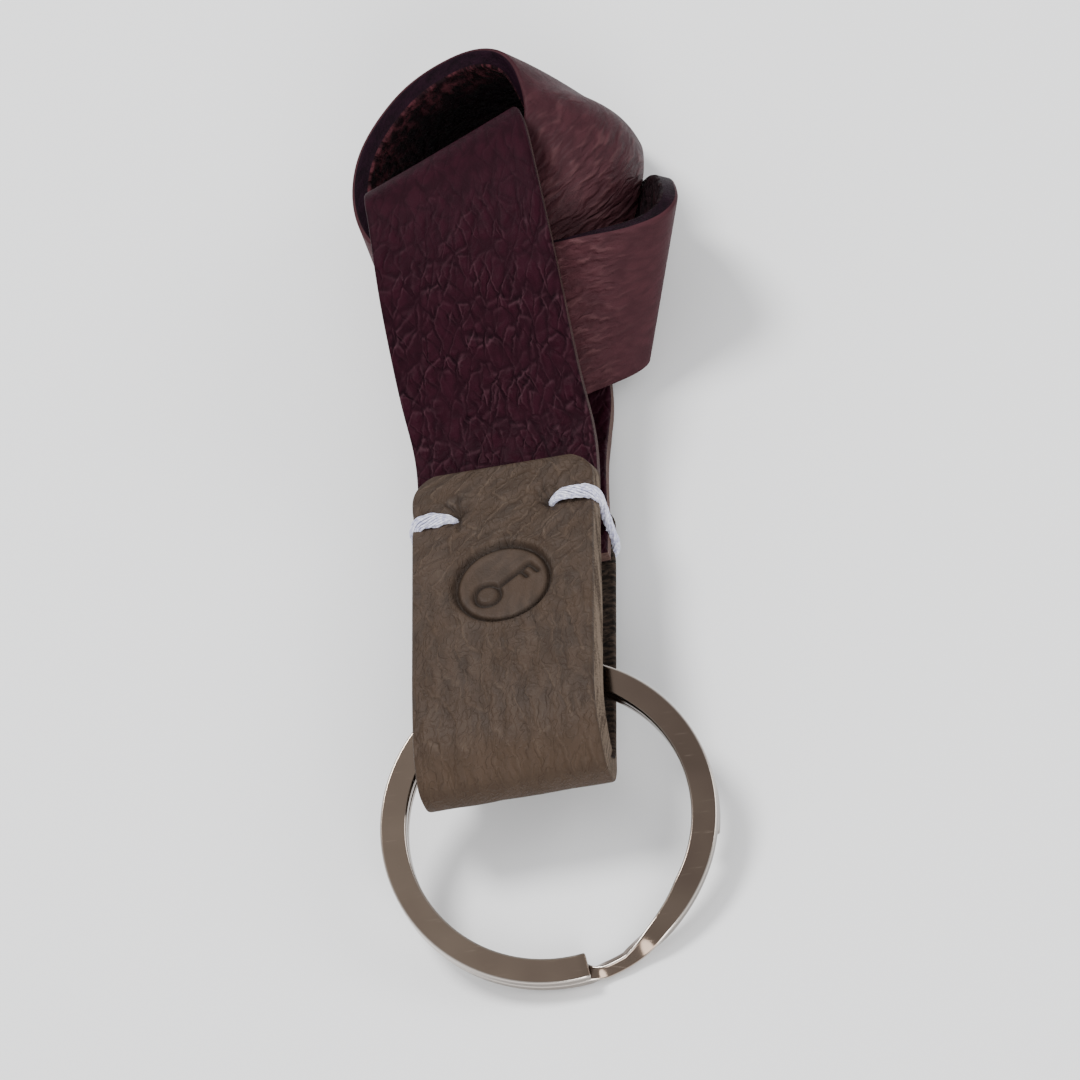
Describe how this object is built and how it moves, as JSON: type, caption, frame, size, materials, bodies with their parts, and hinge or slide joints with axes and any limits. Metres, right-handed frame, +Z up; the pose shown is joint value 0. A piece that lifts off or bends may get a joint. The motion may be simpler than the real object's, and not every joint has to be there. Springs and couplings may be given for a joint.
{
  "type": "wristlet keychain",
  "caption": "Short leather wrist strap tied in a loose knot, held by a folded leather tab with two whip stitches, with a flat split ring in the fold for keys.",
  "frame": {"origin": "the middle of the object's outline, on the surface that it lies on", "axes": "+Y runs from the ring to the knot, +X to the right, +Z up"},
  "size_m": [0.0324, 0.0998, 0.0208],
  "materials": {
    "strap_leather": "pebbled burgundy grain",
    "tab_leather": "creased taupe grain",
    "thread": "loose white filaments",
    "ring_metal": "polished nickel"
  },
  "bodies": {
    "tab": {"connector_tab": "tab_leather", "stitch_left": "thread", "stitch_right": "thread"},
    "ring": {"split_ring": "ring_metal"},
    "strap": {"wrist_strap": "strap_leather"}
  },
  "joints": [
    {"name": "ring_spin", "type": "hinge", "parent": "tab", "child": "ring", "pos_m": [-0.00013, -0.0343, 0.00595], "axis": [0.0766, -0.2957, 0.9522], "continuous": true},
    {"name": "strap_flex", "type": "hinge", "parent": "tab", "child": "strap", "pos_m": [-0.00233, 0.0032, 0.00735], "axis": [1, 0, 0], "range_deg": [0, 45], "stiffness_Nm_per_rad": 0.08, "deforming": ["wrist_strap"]}
  ]
}
